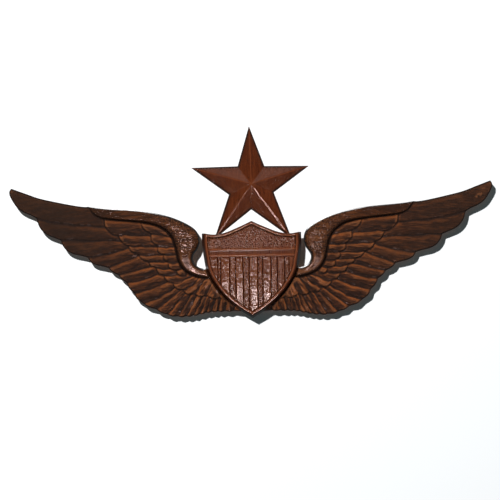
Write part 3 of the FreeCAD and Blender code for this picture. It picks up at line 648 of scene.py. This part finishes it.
def untaper(plan, share):
    """The point whose taper is the given one, moved on to another share of the draft."""
    x = plan[:, 0] / (1 - SHIELD_DRAFT / SHIELD_HALF_WIDTH)
    above = plan[:, 1] - SHIELD_SHOULDER
    z = SHIELD_SHOULDER + np.where(above < 0, above / (1 - SHIELD_DRAFT / SHIELD_DROP), above)
    return taper(np.column_stack([x, z]), share)


def stipple(points, size, seed):
    """Small punched dimples, from 0 on the flat to 1 in a dimple."""
    lattice = points / size
    base = np.floor(lattice).astype(int)
    rng = np.random.default_rng(seed)
    shift = rng.random((128, 128, 2)) * 0.8 + 0.1
    deep = rng.random((128, 128)) * 0.6 + 0.4
    best = np.zeros(len(points))
    for dx in (-1, 0, 1):
        for dz in (-1, 0, 1):
            cx, cz = base[:, 0] + dx, base[:, 1] + dz
            centre = np.column_stack([cx, cz]) + shift[cx % 128, cz % 128]
            gap = np.linalg.norm(lattice - centre, axis=1)
            best = np.maximum(best, deep[cx % 128, cz % 128] * bell(gap, 0.36))
    return best


def shield_height(points, ring, seed):
    """Depth of the shield's face: rim, stippled field, bar and stripes; also its painted shade in the
    recesses and painted highlights on the crests.
    """
    edge = inside_distance(points, ring)
    x, z = points[:, 0], points[:, 1]
    field = SHIELD_DEPTH - FIELD_DROP
    rim = field + 1.1 * np.sqrt(unit(1 - ((edge - 1.5) / 1.75) ** 2))
    inner = ease(RIM_WIDTH - 0.8, RIM_WIDTH, edge)

    chief = ease(CHIEF_FOOT - 0.4, CHIEF_FOOT + 0.4, z)
    face = np.full(len(points), field)
    dimples = stipple(points, 1.4, seed)
    face -= 0.42 * dimples * chief
    bar = bell(z - BAR_TOP, 0.75) + bell(z - BAR_FOOT, 0.75)
    face += 0.5 * bar + 0.12 * ease(BAR_FOOT, BAR_FOOT + 0.8, z) * (1 - chief)

    below = 1 - ease(STRIPE_TOP - 0.5, STRIPE_TOP + 0.5, z)
    wander = 0.25 * noise(x / 9, z / 11, seed + 2)
    past = np.min([np.abs(x + wander - middle) - width / 2 for middle, width in STRIPES], axis=0)
    raised = 1 - ease(-0.5, 0.5, past)
    ripples = 0.09 * noise(x / 6, z / 2.0, seed + 3) + 0.07 * noise(x / 1.7, z / 1.7, seed + 4)
    flutes = 0.30 * bell(past - 0.4, 0.5)
    stripes = raised * (0.66 + ripples - 0.14 * dimples) - (1 - raised) * (0.05 + 0.36 * dimples) - flutes
    face += below * stripes
    groove = 0.35 * bell(edge - RIM_WIDTH, 0.55)
    height = blend(rim, face, inner) - groove
    height -= FOOT_BEND * np.clip(BEND_START - z, 0, None) ** 2 + 0.0006 * x ** 2
    height += 0.06 * rough(points, 5, seed + 5) + 0.04 * rough(points, 1.6, seed + 9)
    height -= 0.5 * (1 - ease(0, 0.7, edge))

    punched = inner * np.maximum(chief, below * (1 - 0.5 * raised))
    # painted shade in the groove inside the rim, the flutes between the stripes, the line under the bar and
    # the punched dimples; the bar's middle and the outline are darker too
    stain = np.max([0.7 * bell(edge - RIM_WIDTH, 0.5), 0.8 * below * inner * bell(past - 0.4, 0.5),
                    0.6 * inner * bell(z - STRIPE_TOP + 0.4, 0.6), 0.62 * dimples * punched,
                    0.35 * inner * np.exp(-((z - BAR_MIDDLE) / 1.9) ** 4), 0.55 * bell(edge, 1.1)], axis=0)
    # painted highlights along the rim's crest, the bar's ribs and the flat between the dimples
    crest = 0.8 * bell(edge - 2.1, 0.4) + 0.9 * bar * inner + 0.9 * (0.28 - dimples) * punched
    return np.minimum(height, SHIELD_DEPTH), unit(stain), crest


def add_shield():
    ring = taper(shield_ring(), 1.0)
    points, faces, loops = relief_sheet(ring, SHIELD_CELL)
    height, stain, crest = shield_height(points, ring, 71)
    # painted highlights from the crest lines, with crests lighter and hollows darker
    rise = crest + 0.4 * (height - blurred(height, points, SHIELD_CELL, 1.2))
    solid = Solid()
    solid.add(points, height, stain=stain, rise=rise)
    solid.faces += faces
    loop = max(loops, key=len)
    plan, front, rows = points[loop], height[loop], []
    for share in (0.96, 0.86, 0.6, 0.3, 0.05, 0.0):
        moved = untaper(plan, share)
        depth = SEAT_DEPTH + (front - SEAT_DEPTH) * share
        depth += 0.0 if share == 0 else 0.1 * noise(moved[:, 0] / 3, moved[:, 1] / 3 + 9 * share, 5)
        rows.append((moved, depth, share))
    close_behind(solid, loop, rows, 0.30)
    return solid.make("shield", 1, 50)


# ---------------- the star
def add_star():
    """Ten facets that rise to the middle, each a triangular patch of small faces, with softened ridges."""
    corners, centre = np.array(STAR_CORNERS, float), np.array(STAR_APEX, float)
    count = STAR_STEPS
    solid = Solid()
    known, table, loop = {}, [], []

    def vertex(position, *values):
        key = (round(position[0], 3), round(position[1], 3))
        if key not in known:
            known[key] = len(table)
            table.append((*position, *values))
        return known[key]

    def away(offset, direction):
        return abs(offset[0] * direction[1] - offset[1] * direction[0])

    for k in range(10):
        tip, notch = corners[k:k + 2] if k % 2 == 0 else (corners[(k + 1) % 10], corners[k])
        to_tip, to_notch = tip - centre, notch - centre
        ridge, valley = [line / np.linalg.norm(line) for line in (to_tip, to_notch)]
        rows = []
        for i in range(count + 1):
            row = []
            out = i / count
            for j in range(i + 1):
                across = j / max(i, 1)
                offset = out * ((1 - across) * to_tip + across * to_notch)
                ridge_gap, valley_gap = away(offset, ridge), away(offset, valley)
                edge_gap = (1 - out) * away(to_tip, valley) * 0.6
                value = STAR_APEX_DEPTH - (STAR_APEX_DEPTH - STAR_EDGE_DEPTH) * out
                value -= 0.30 * math.exp(-ridge_gap / 0.45) * min(1.0, 4 * out)
                value += 0.20 * math.exp(-valley_gap / 0.6) * (1 - out)
                value -= 0.35 * math.exp(-edge_gap / 0.5)
                dark = min(1, 1.4 * bell(edge_gap, 1.8))
                # painted highlight along the ridges and the inner ends of the valleys
                light = max(bell(ridge_gap, 0.5), (0.9 - out) * bell(valley_gap, 0.45))
                row.append(vertex(centre + offset, value, dark, light))
            rows.append(row)
        outer = rows[count] if k % 2 == 0 else rows[count][::-1]
        loop += outer[:-1]
        for i in range(count):
            for j in range(i + 1):
                solid.faces.append((rows[i][j], rows[i + 1][j], rows[i + 1][j + 1]))
                if j < i:
                    solid.faces.append((rows[i][j], rows[i + 1][j + 1], rows[i][j + 1]))
    table = np.array(table)
    plan = table[:, :2]
    depth, stain, crest = table[:, 2:].T
    depth = depth + 0.07 * rough(plan, 7, 301) + 0.03 * rough(plan, 2, 311)
    solid.add(plan, depth, stain=stain, rise=0.8 * crest, matt=0.25 * ease(60, 75, plan[:, 1]))
    close_behind(solid, loop, straight_sides(plan[loop], depth[loop], (0.94, 0.5, 0.06), 0.4), 0.75)
    return solid.make("star", 1, 14)


# ---------------- materials
class Nodes:
    """Short ways to make and link shader nodes."""

    def __init__(self, name):
        self.material = bpy.data.materials.new(name)
        self.material.use_nodes = True
        self.tree = self.material.node_tree
        self.tree.nodes.clear()
        self.output = self.add("ShaderNodeOutputMaterial")
        self.shader = self.add("ShaderNodeBsdfPrincipled")
        self.link(self.shader.outputs[0], self.output.inputs["Surface"])

    def add(self, kind, **settings):
        node = self.tree.nodes.new(kind)
        for key, value in settings.items():
            setattr(node, key, value)
        return node

    def link(self, source, target):
        self.tree.links.new(source, target)

    def set(self, socket, value):
        if isinstance(value, bpy.types.NodeSocket):
            self.link(value, socket)
        else:
            socket.default_value = value

    def fill(self, node, **values):
        """Links or sets the node's inputs by name."""
        for name, value in values.items():
            self.set(node.inputs[name.replace("_", " ")], value)

    def coordinates(self, scale=(1, 1, 1), rotation=(0, 0, 0)):
        """Object coordinates, in units of one over the scale."""
        mapping = self.add("ShaderNodeMapping")
        place = self.add("ShaderNodeTexCoord")
        self.fill(mapping, Scale=scale, Rotation=rotation, Vector=place.outputs["Object"])
        return mapping.outputs[0]

    def noise(self, vector, scale, detail=4.0, roughness=0.55, distortion=0.0):
        node = self.add("ShaderNodeTexNoise")
        self.fill(node, Vector=vector, Scale=scale, Detail=detail, Roughness=roughness, Distortion=distortion)
        return node.outputs["Fac"]

    def math(self, operation, a, b=0.0, clamp=False):
        node = self.add("ShaderNodeMath", operation=operation, use_clamp=clamp)
        self.set(node.inputs[0], a)
        self.set(node.inputs[1], b)
        return node.outputs[0]

    def times(self, a, b):
        return self.math("MULTIPLY", a, b)

    def plus(self, a, b, clamp=False):
        return self.math("ADD", a, b, clamp)

    def span(self, value, low, high, to_low=0.0, to_high=1.0):
        """The value's range, smoothly stepped on to another."""
        node = self.add("ShaderNodeMapRange", interpolation_type="SMOOTHSTEP")
        self.fill(node, Value=value, From_Min=low, From_Max=high, To_Min=to_low, To_Max=to_high)
        return node.outputs[0]

    def mix(self, share, a, b):
        node = self.add("ShaderNodeMix", data_type="RGBA")
        self.set(node.inputs["Factor"], share)
        colours = [socket for socket in node.inputs if socket.type == "RGBA"]
        self.set(colours[0], a)
        self.set(colours[1], b)
        return next(socket for socket in node.outputs if socket.type == "RGBA")

    def ramp(self, value, stops):
        node = self.add("ShaderNodeValToRGB")
        elements = node.color_ramp.elements
        while len(elements) < len(stops):
            elements.new(0.5)
        for element, (position, colour) in zip(elements, stops):
            element.position = position
            element.color = (*colour, 1)
        self.link(value, node.inputs[0])
        return node.outputs[0]

    def attribute(self, name):
        return self.add("ShaderNodeAttribute", attribute_name=name).outputs["Fac"]

    def bump(self, height, strength, distance):
        node = self.add("ShaderNodeBump")
        self.fill(node, Strength=strength, Distance=distance, Height=height)
        return node.outputs[0]

    def surface(self, **values):
        """Fills in the shader's inputs and gives back the material."""
        self.fill(self.shader, **values)
        return self.material


PORE_BROWN = (0.012, 0.005, 0.003, 1)
TIP_BROWN = (0.0105, 0.0056, 0.0034, 1)
# painted shade colours: near black for shade and stain in creases and grooves, brown for the hollows
SHADE_AND_STAIN_BLACK = (0.0065, 0.0042, 0.0036, 1)
HOLLOW_SHADE_BROWN = (0.010, 0.0055, 0.004, 1)
BARE_WOOD = [(0.3, (0.115, 0.049, 0.024)), (0.7, (0.27, 0.128, 0.068))]


def mahogany(name, grain_turn, deep, middle, light, tip_fade=0.0, gloss=0.21, dimple=0.35, contrast=0.12):
    """Stained and lacquered mahogany: ribbon grain, open pores, painted shade with dark stain in the
    recesses, light ridges that are painted highlight with rubbed wear, and painted light on the warm bands.
    """
    n = Nodes(name)
    along = n.coordinates(rotation=(0, grain_turn, 0))
    stretch = n.add("ShaderNodeVectorMath", operation="MULTIPLY")
    n.link(along, stretch.inputs[0])
    stretch.inputs[1].default_value = (0.10, 1.0, 1.0)
    grain = stretch.outputs[0]
    ribbon = n.noise(grain, 260.0, 5.0, 0.65, 0.8)
    cloud = n.noise(along, 26.0, 3.0, 0.5)
    fine = n.noise(grain, 1000.0, 3.0, 0.6)
    tone = n.plus(n.plus(n.times(ribbon, 0.45), n.times(cloud, 0.20)), n.times(fine, 0.35))
    colour = n.ramp(tone, [(0.50 - contrast, deep), (0.50, middle), (0.50 + contrast, light)])
    # painted light: the warm orange, laid where a feather's upper band faces the light, along with warm
    # streaks and tone
    orange = (light[0] * 1.65, light[1] * 1.45, light[2] * 1.10, 1)
    colour = n.mix(n.times(n.attribute("warmth_and_painted_light"), 0.85), colour, orange)

    pores = n.span(n.noise(grain, 1500.0, 2.0, 0.5), 0.60, 0.70)
    colour = n.mix(n.times(pores, 0.55), colour, PORE_BROWN)
    if tip_fade:
        place = n.add("ShaderNodeSeparateXYZ")
        n.link(n.coordinates(), place.inputs[0])
        uneven = n.plus(n.math("ABSOLUTE", place.outputs["X"]), n.times(cloud, 0.05))
        colour = n.mix(n.span(uneven, 0.085, 0.215, 0.0, tip_fade), colour, TIP_BROWN)
    # painted shade and stain: creases, grooves, dimples and shaded slopes are mixed towards near black
    stain = n.attribute("stain")
    uneven_stain_and_shade = n.times(stain, n.span(cloud, 0.25, 0.6, 0.8, 1.0))
    colour = n.mix(n.times(uneven_stain_and_shade, 0.92), colour, SHADE_AND_STAIN_BLACK)
    # painted highlight: crests and specks that stand above their surroundings are lightened, with rubbed
    # wear; painted shade: hollows are darkened
    rise = n.attribute("rise")
    colour = n.mix(n.span(rise, 0.15, 0.60, 0.0, 0.40), colour,
                   (min(1, light[0] * 1.8), light[1] * 2.1, light[2] * 2.6, 1))
    colour = n.mix(n.span(rise, -0.5, -0.05, 0.7, 0.0), colour, HOLLOW_SHADE_BROWN)
    back = n.attribute("back")
    saw = n.noise(n.coordinates((6, 1, 140)), 1.0, 2.0, 0.5)
    bare = n.ramp(n.plus(n.times(tone, 0.7), n.times(saw, 0.3)), BARE_WOOD)
    colour = n.mix(back, colour, bare)

    lacquer = n.span(n.noise(along, 260.0, 3.0, 0.6), 0.3, 0.7, gloss - 0.04, gloss + 0.04)
    roughness = n.plus(n.plus(lacquer, n.times(stain, 0.05)), n.times(n.attribute("matt"), 0.62))
    roughness = n.plus(roughness, n.times(back, 0.35), clamp=True)
    orange_peel = n.noise(along, 700.0, 2.0, 0.5)
    relief = n.math("SUBTRACT", n.plus(n.times(fine, 0.5), n.times(orange_peel, 0.5)), n.times(pores, 0.6))
    return n.surface(Base_Color=colour, Roughness=roughness, Normal=n.bump(relief, dimple, 0.0004), IOR=1.5,
                     Specular_IOR_Level=0.45)


def plain_wood(name, dark, light, roughness):
    """Sanded or sawn wood with fine straight grain."""
    n = Nodes(name)
    grain = n.coordinates((20, 200, 200))
    streak = n.noise(grain, 4.0, 5.0, 0.6, 0.5)
    broad = n.noise(n.coordinates((8, 40, 40)), 2.0, 3.0, 0.5)
    colour = n.ramp(n.plus(n.times(streak, 0.6), n.times(broad, 0.4)), [(0.32, dark), (0.68, light)])
    return n.surface(Base_Color=colour, Normal=n.bump(streak, 0.5, 0.0003),
                     Roughness=n.span(streak, 0.3, 0.7, roughness - 0.08, roughness + 0.08))


def plated_steel(name, colour, tint, roughness):
    """Zinc-plated steel: a brushed, slightly mottled metal with fine scratches."""
    n = Nodes(name)
    mottle = n.noise(n.coordinates(), 420.0, 4.0, 0.6)
    scratches = n.noise(n.coordinates((40, 1200, 1200)), 3.0, 3.0, 0.6)
    dullness = n.plus(n.span(mottle, 0.3, 0.7, roughness - 0.06, roughness + 0.08), n.times(scratches, 0.10))
    return n.surface(Base_Color=n.mix(n.span(mottle, 0.35, 0.65), (*colour, 1), (*tint, 1)), Metallic=1.0,
                     Roughness=dullness, Normal=n.bump(n.plus(mottle, scratches), 0.25, 0.00008))


def rubber(name):
    """Dull black rubber with a fine pebbled surface."""
    n = Nodes(name)
    grit = n.noise(n.coordinates(), 2600.0, 3.0, 0.6)
    dust = n.span(n.noise(n.coordinates(), 300.0, 3.0, 0.6), 0.45, 0.75, 0.0, 0.6)
    return n.surface(Base_Color=n.mix(dust, (0.018, 0.018, 0.019, 1), (0.05, 0.048, 0.046, 1)),
                     Roughness=n.span(grit, 0.3, 0.7, 0.62, 0.82), Normal=n.bump(grit, 0.5, 0.00015))


def paint_piece(piece, material):
    piece.data.materials.clear()
    piece.data.materials.append(material)


def paint_node(name, material):
    """Gives every material slot of a CAD node's object one material."""
    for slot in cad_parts[name].material_slots:
        slot.link = "OBJECT"
        slot.material = material


# ---------------- stage, lights and camera
WALL_SIZE = 3.0
FLOOR_HEIGHT = -0.75
CAMERA_DISTANCE = 2.2
SENSOR = 36.0
FRAME_WIDTH = 0.4725        # metres across the picture at the carving
CAMERA_ROLL = math.radians(1.0)
CAMERA_AIM = (-0.001677, -0.015, -0.009422)


def plane_object(name, corners, material):
    mesh = bpy.data.meshes.new(name)
    mesh.from_pydata(corners, [], [(0, 1, 2, 3)])
    mesh.materials.append(material)
    thing = in_scene(name, mesh)
    return thing


def wall_material():
    """White wall that shows only from the front, so the plaque's back can be looked at."""
    n = Nodes("stage_wall")
    front = n.math("SUBTRACT", 1.0, n.add("ShaderNodeNewGeometry").outputs["Backfacing"])
    shown = n.times(front, n.add("ShaderNodeLightPath").outputs["Is Camera Ray"])
    clear = n.add("ShaderNodeBsdfTransparent")
    choose = n.add("ShaderNodeMixShader")
    for source, target in zip((shown, clear.outputs[0], n.shader.outputs[0]), choose.inputs):
        n.link(source, target)
    n.link(choose.outputs[0], n.output.inputs["Surface"])
    return n.surface(Base_Color=(0.86, 0.87, 0.88, 1), Roughness=0.9, Specular_IOR_Level=0.0)


def add_stage():
    low, half = FLOOR_HEIGHT, WALL_SIZE / 2
    wall = [(-half, 0, low), (half, 0, low), (half, 0, half), (-half, 0, half)]
    plane_object("stage_wall", wall, wall_material())
    floor = [(-half, -half, low), (half, -half, low), (half, half, low), (-half, half, low)]
    pale = Nodes("stage_floor").surface(Base_Color=(0.80, 0.80, 0.79, 1), Roughness=0.85)
    ground = plane_object("stage_floor", floor, pale)
    ground.visible_diffuse = False
    ground.visible_glossy = False


def area_light(name, position, target, size, power, colour=(1, 1, 1)):
    data = bpy.data.lights.new(name, "AREA")
    data.shape = "DISK"
    data.size = size
    data.energy = power
    data.color = colour
    lamp = in_scene(name, data)
    lamp.location = position
    lamp.rotation_euler = (Vector(target) - Vector(position)).to_track_quat("-Z", "Y").to_euler()
    return lamp


def lit_group(name, *pieces):
    """A collection of the pieces that a lamp lights."""
    group = bpy.data.collections.new(name)
    for piece in pieces:
        group.objects.link(piece)
    return group


def add_lights(wood, top_piece, wings_and_star, middle_piece):
    """A small hard key, lamps for glints on the lacquer, and soft ones for the carving only."""
    key = area_light("key", (-0.64, -2.4, 0.96), (0, 0, 0), 0.10, 96)
    key.visible_glossy = False
    white = (1, 1, 1)
    for name, position, aim, size, power, colour, lit, hidden in (
            ("low_glint", (-0.085, -0.9, -0.235), 0, 0.10, 3.2, (1, 0.67, 0.63), wings_and_star, "diffuse"),
            ("shield_glint", (-0.02, -0.9, -0.235), 0, 0.10, 3.9, (1, 0.78, 0.75), middle_piece, "diffuse"),
            ("star_sheen", (0, -0.9, 0.76), 0.055, 0.5, 0.5, (1, 0.90, 0.82), top_piece, "diffuse"),
            ("soft_top", (0.15, -1.3, 1.7), 0, 0.9, 48, white, wood, "glossy"),
            ("soft_fill", (0.9, -1.7, -0.7), 0, 0.9, 12, white, wood, "glossy"),
            ("side_fill", (2.2, 0.2, 0.2), 0, 1.0, 16, white, wood, "glossy")):
        lamp = area_light(name, position, (0, 0, aim), size, power, colour)
        setattr(lamp, "visible_" + hidden, False)
        lamp.light_linking.receiver_collection = lit
    area_light("back_fill", (-0.5, 1.9, 1.2), (0, 0, 0), 1.2, 24)
    world = bpy.data.worlds.new("studio")
    world.use_nodes = True
    tree = world.node_tree
    tree.nodes.clear()
    output, choose, path, ambient, seen = [tree.nodes.new("ShaderNode" + kind) for kind in (
        "OutputWorld", "MixShader", "LightPath", "Background", "Background")]
    seen.inputs["Color"].default_value = (1, 1, 1, 1)
    ambient.inputs["Color"].default_value = (0.72, 0.96, 1, 1)
    ambient.inputs["Strength"].default_value = 0.08
    sources = path.outputs["Is Camera Ray"], ambient.outputs[0], seen.outputs[0]
    for source, target in zip(sources, choose.inputs):
        tree.links.new(source, target)
    tree.links.new(choose.outputs[0], output.inputs["Surface"])
    bpy.context.scene.world = world


def add_camera():
    """Straight on, rolled a little so that the left tip hangs lower in the picture."""
    data = bpy.data.cameras.new("camera")
    data.sensor_width = SENSOR
    data.lens = SENSOR * CAMERA_DISTANCE / FRAME_WIDTH
    data.clip_start = 0.05
    data.clip_end = 20
    camera = in_scene("camera", data)
    right = Vector((math.cos(CAMERA_ROLL), 0, -math.sin(CAMERA_ROLL)))
    up = Vector((math.sin(CAMERA_ROLL), 0, math.cos(CAMERA_ROLL)))
    backwards = right.cross(up)
    turn = Matrix((right, up, backwards)).transposed().to_4x4()
    position = Vector(CAMERA_AIM) + backwards * CAMERA_DISTANCE
    camera.matrix_world = Matrix.Translation(position) @ turn
    bpy.context.scene.camera = camera
    bpy.context.scene.view_settings.view_transform = "Standard"


# ---------------- the plaque
add_camera()
add_stage()

wing_rings = wing_lines()
wing_sheet = relief_sheet(wing_rings[0], WING_CELL)
wing_survey = WingSurvey(wing_sheet[0], wing_rings)
left_wing = add_wing("left_wing", -1, wing_sheet, wing_survey, LEFT_SEED)
right_wing = add_wing("right_wing", 1, wing_sheet, wing_survey, RIGHT_SEED)
shield = add_shield()
star = add_star()
star.visible_shadow = False
add_lights(lit_group("carved_wood", left_wing, right_wing, shield, star), lit_group("top_piece", star),
           lit_group("wings_and_star", left_wing, right_wing, star), lit_group("middle_piece", shield))

WING_BROWNS = (0.0115, 0.0041, 0.0022), (0.0285, 0.0088, 0.0035), (0.073, 0.0225, 0.0068)
SHIELD_BROWNS = (0.040, 0.0095, 0.0030), (0.058, 0.0135, 0.0042), (0.080, 0.0205, 0.0066)
STAR_BROWNS = (0.030, 0.0056, 0.0015), (0.041, 0.0082, 0.0020), (0.057, 0.0122, 0.0032)
UPRIGHT = math.radians(90)
for hand, wing, turn, fade in (("left", left_wing, 0.10, 0.86), ("right", right_wing, -0.10, 0.62)):
    paint_piece(wing, mahogany(hand + "_wing_mahogany", turn, *WING_BROWNS, tip_fade=fade, contrast=0.072))
paint_piece(shield, mahogany("shield_mahogany", UPRIGHT, *SHIELD_BROWNS, gloss=0.135, dimple=0.36))
paint_piece(star, mahogany("star_mahogany", UPRIGHT, *STAR_BROWNS, gloss=0.13, dimple=0.24, contrast=0.11))
paint_node("backing_block", plain_wood("block_mahogany", (0.10, 0.046, 0.024), (0.23, 0.115, 0.062), 0.6))
for node in ("centre_dowels", "block_dowels"):
    paint_node(node, plain_wood("birch_" + node, (0.42, 0.29, 0.17), (0.62, 0.46, 0.30), 0.6))
zinc = plated_steel("bright_zinc", (0.62, 0.63, 0.64), (0.50, 0.51, 0.53), 0.30)
ring_zinc = plated_steel("ring_zinc", (0.68, 0.68, 0.69), (0.58, 0.58, 0.60), 0.22)
paint_node("shield_screws", plated_steel("yellow_zinc", (0.66, 0.53, 0.28), (0.55, 0.47, 0.33), 0.32))
paint_node("star_pins", zinc)
pad_rubber = rubber("pad_rubber")
for hand in ("left", "right"):
    for part, material in (("hanger_strap", zinc), ("hanger_screw", zinc), ("hanger_ring", ring_zinc),
                           ("outer_wall_pad", pad_rubber), ("lower_wall_pad", pad_rubber)):
        paint_node(hand + "_" + part, material)
for place in ("centre", "star"):
    paint_node(place + "_wall_pad", pad_rubber)
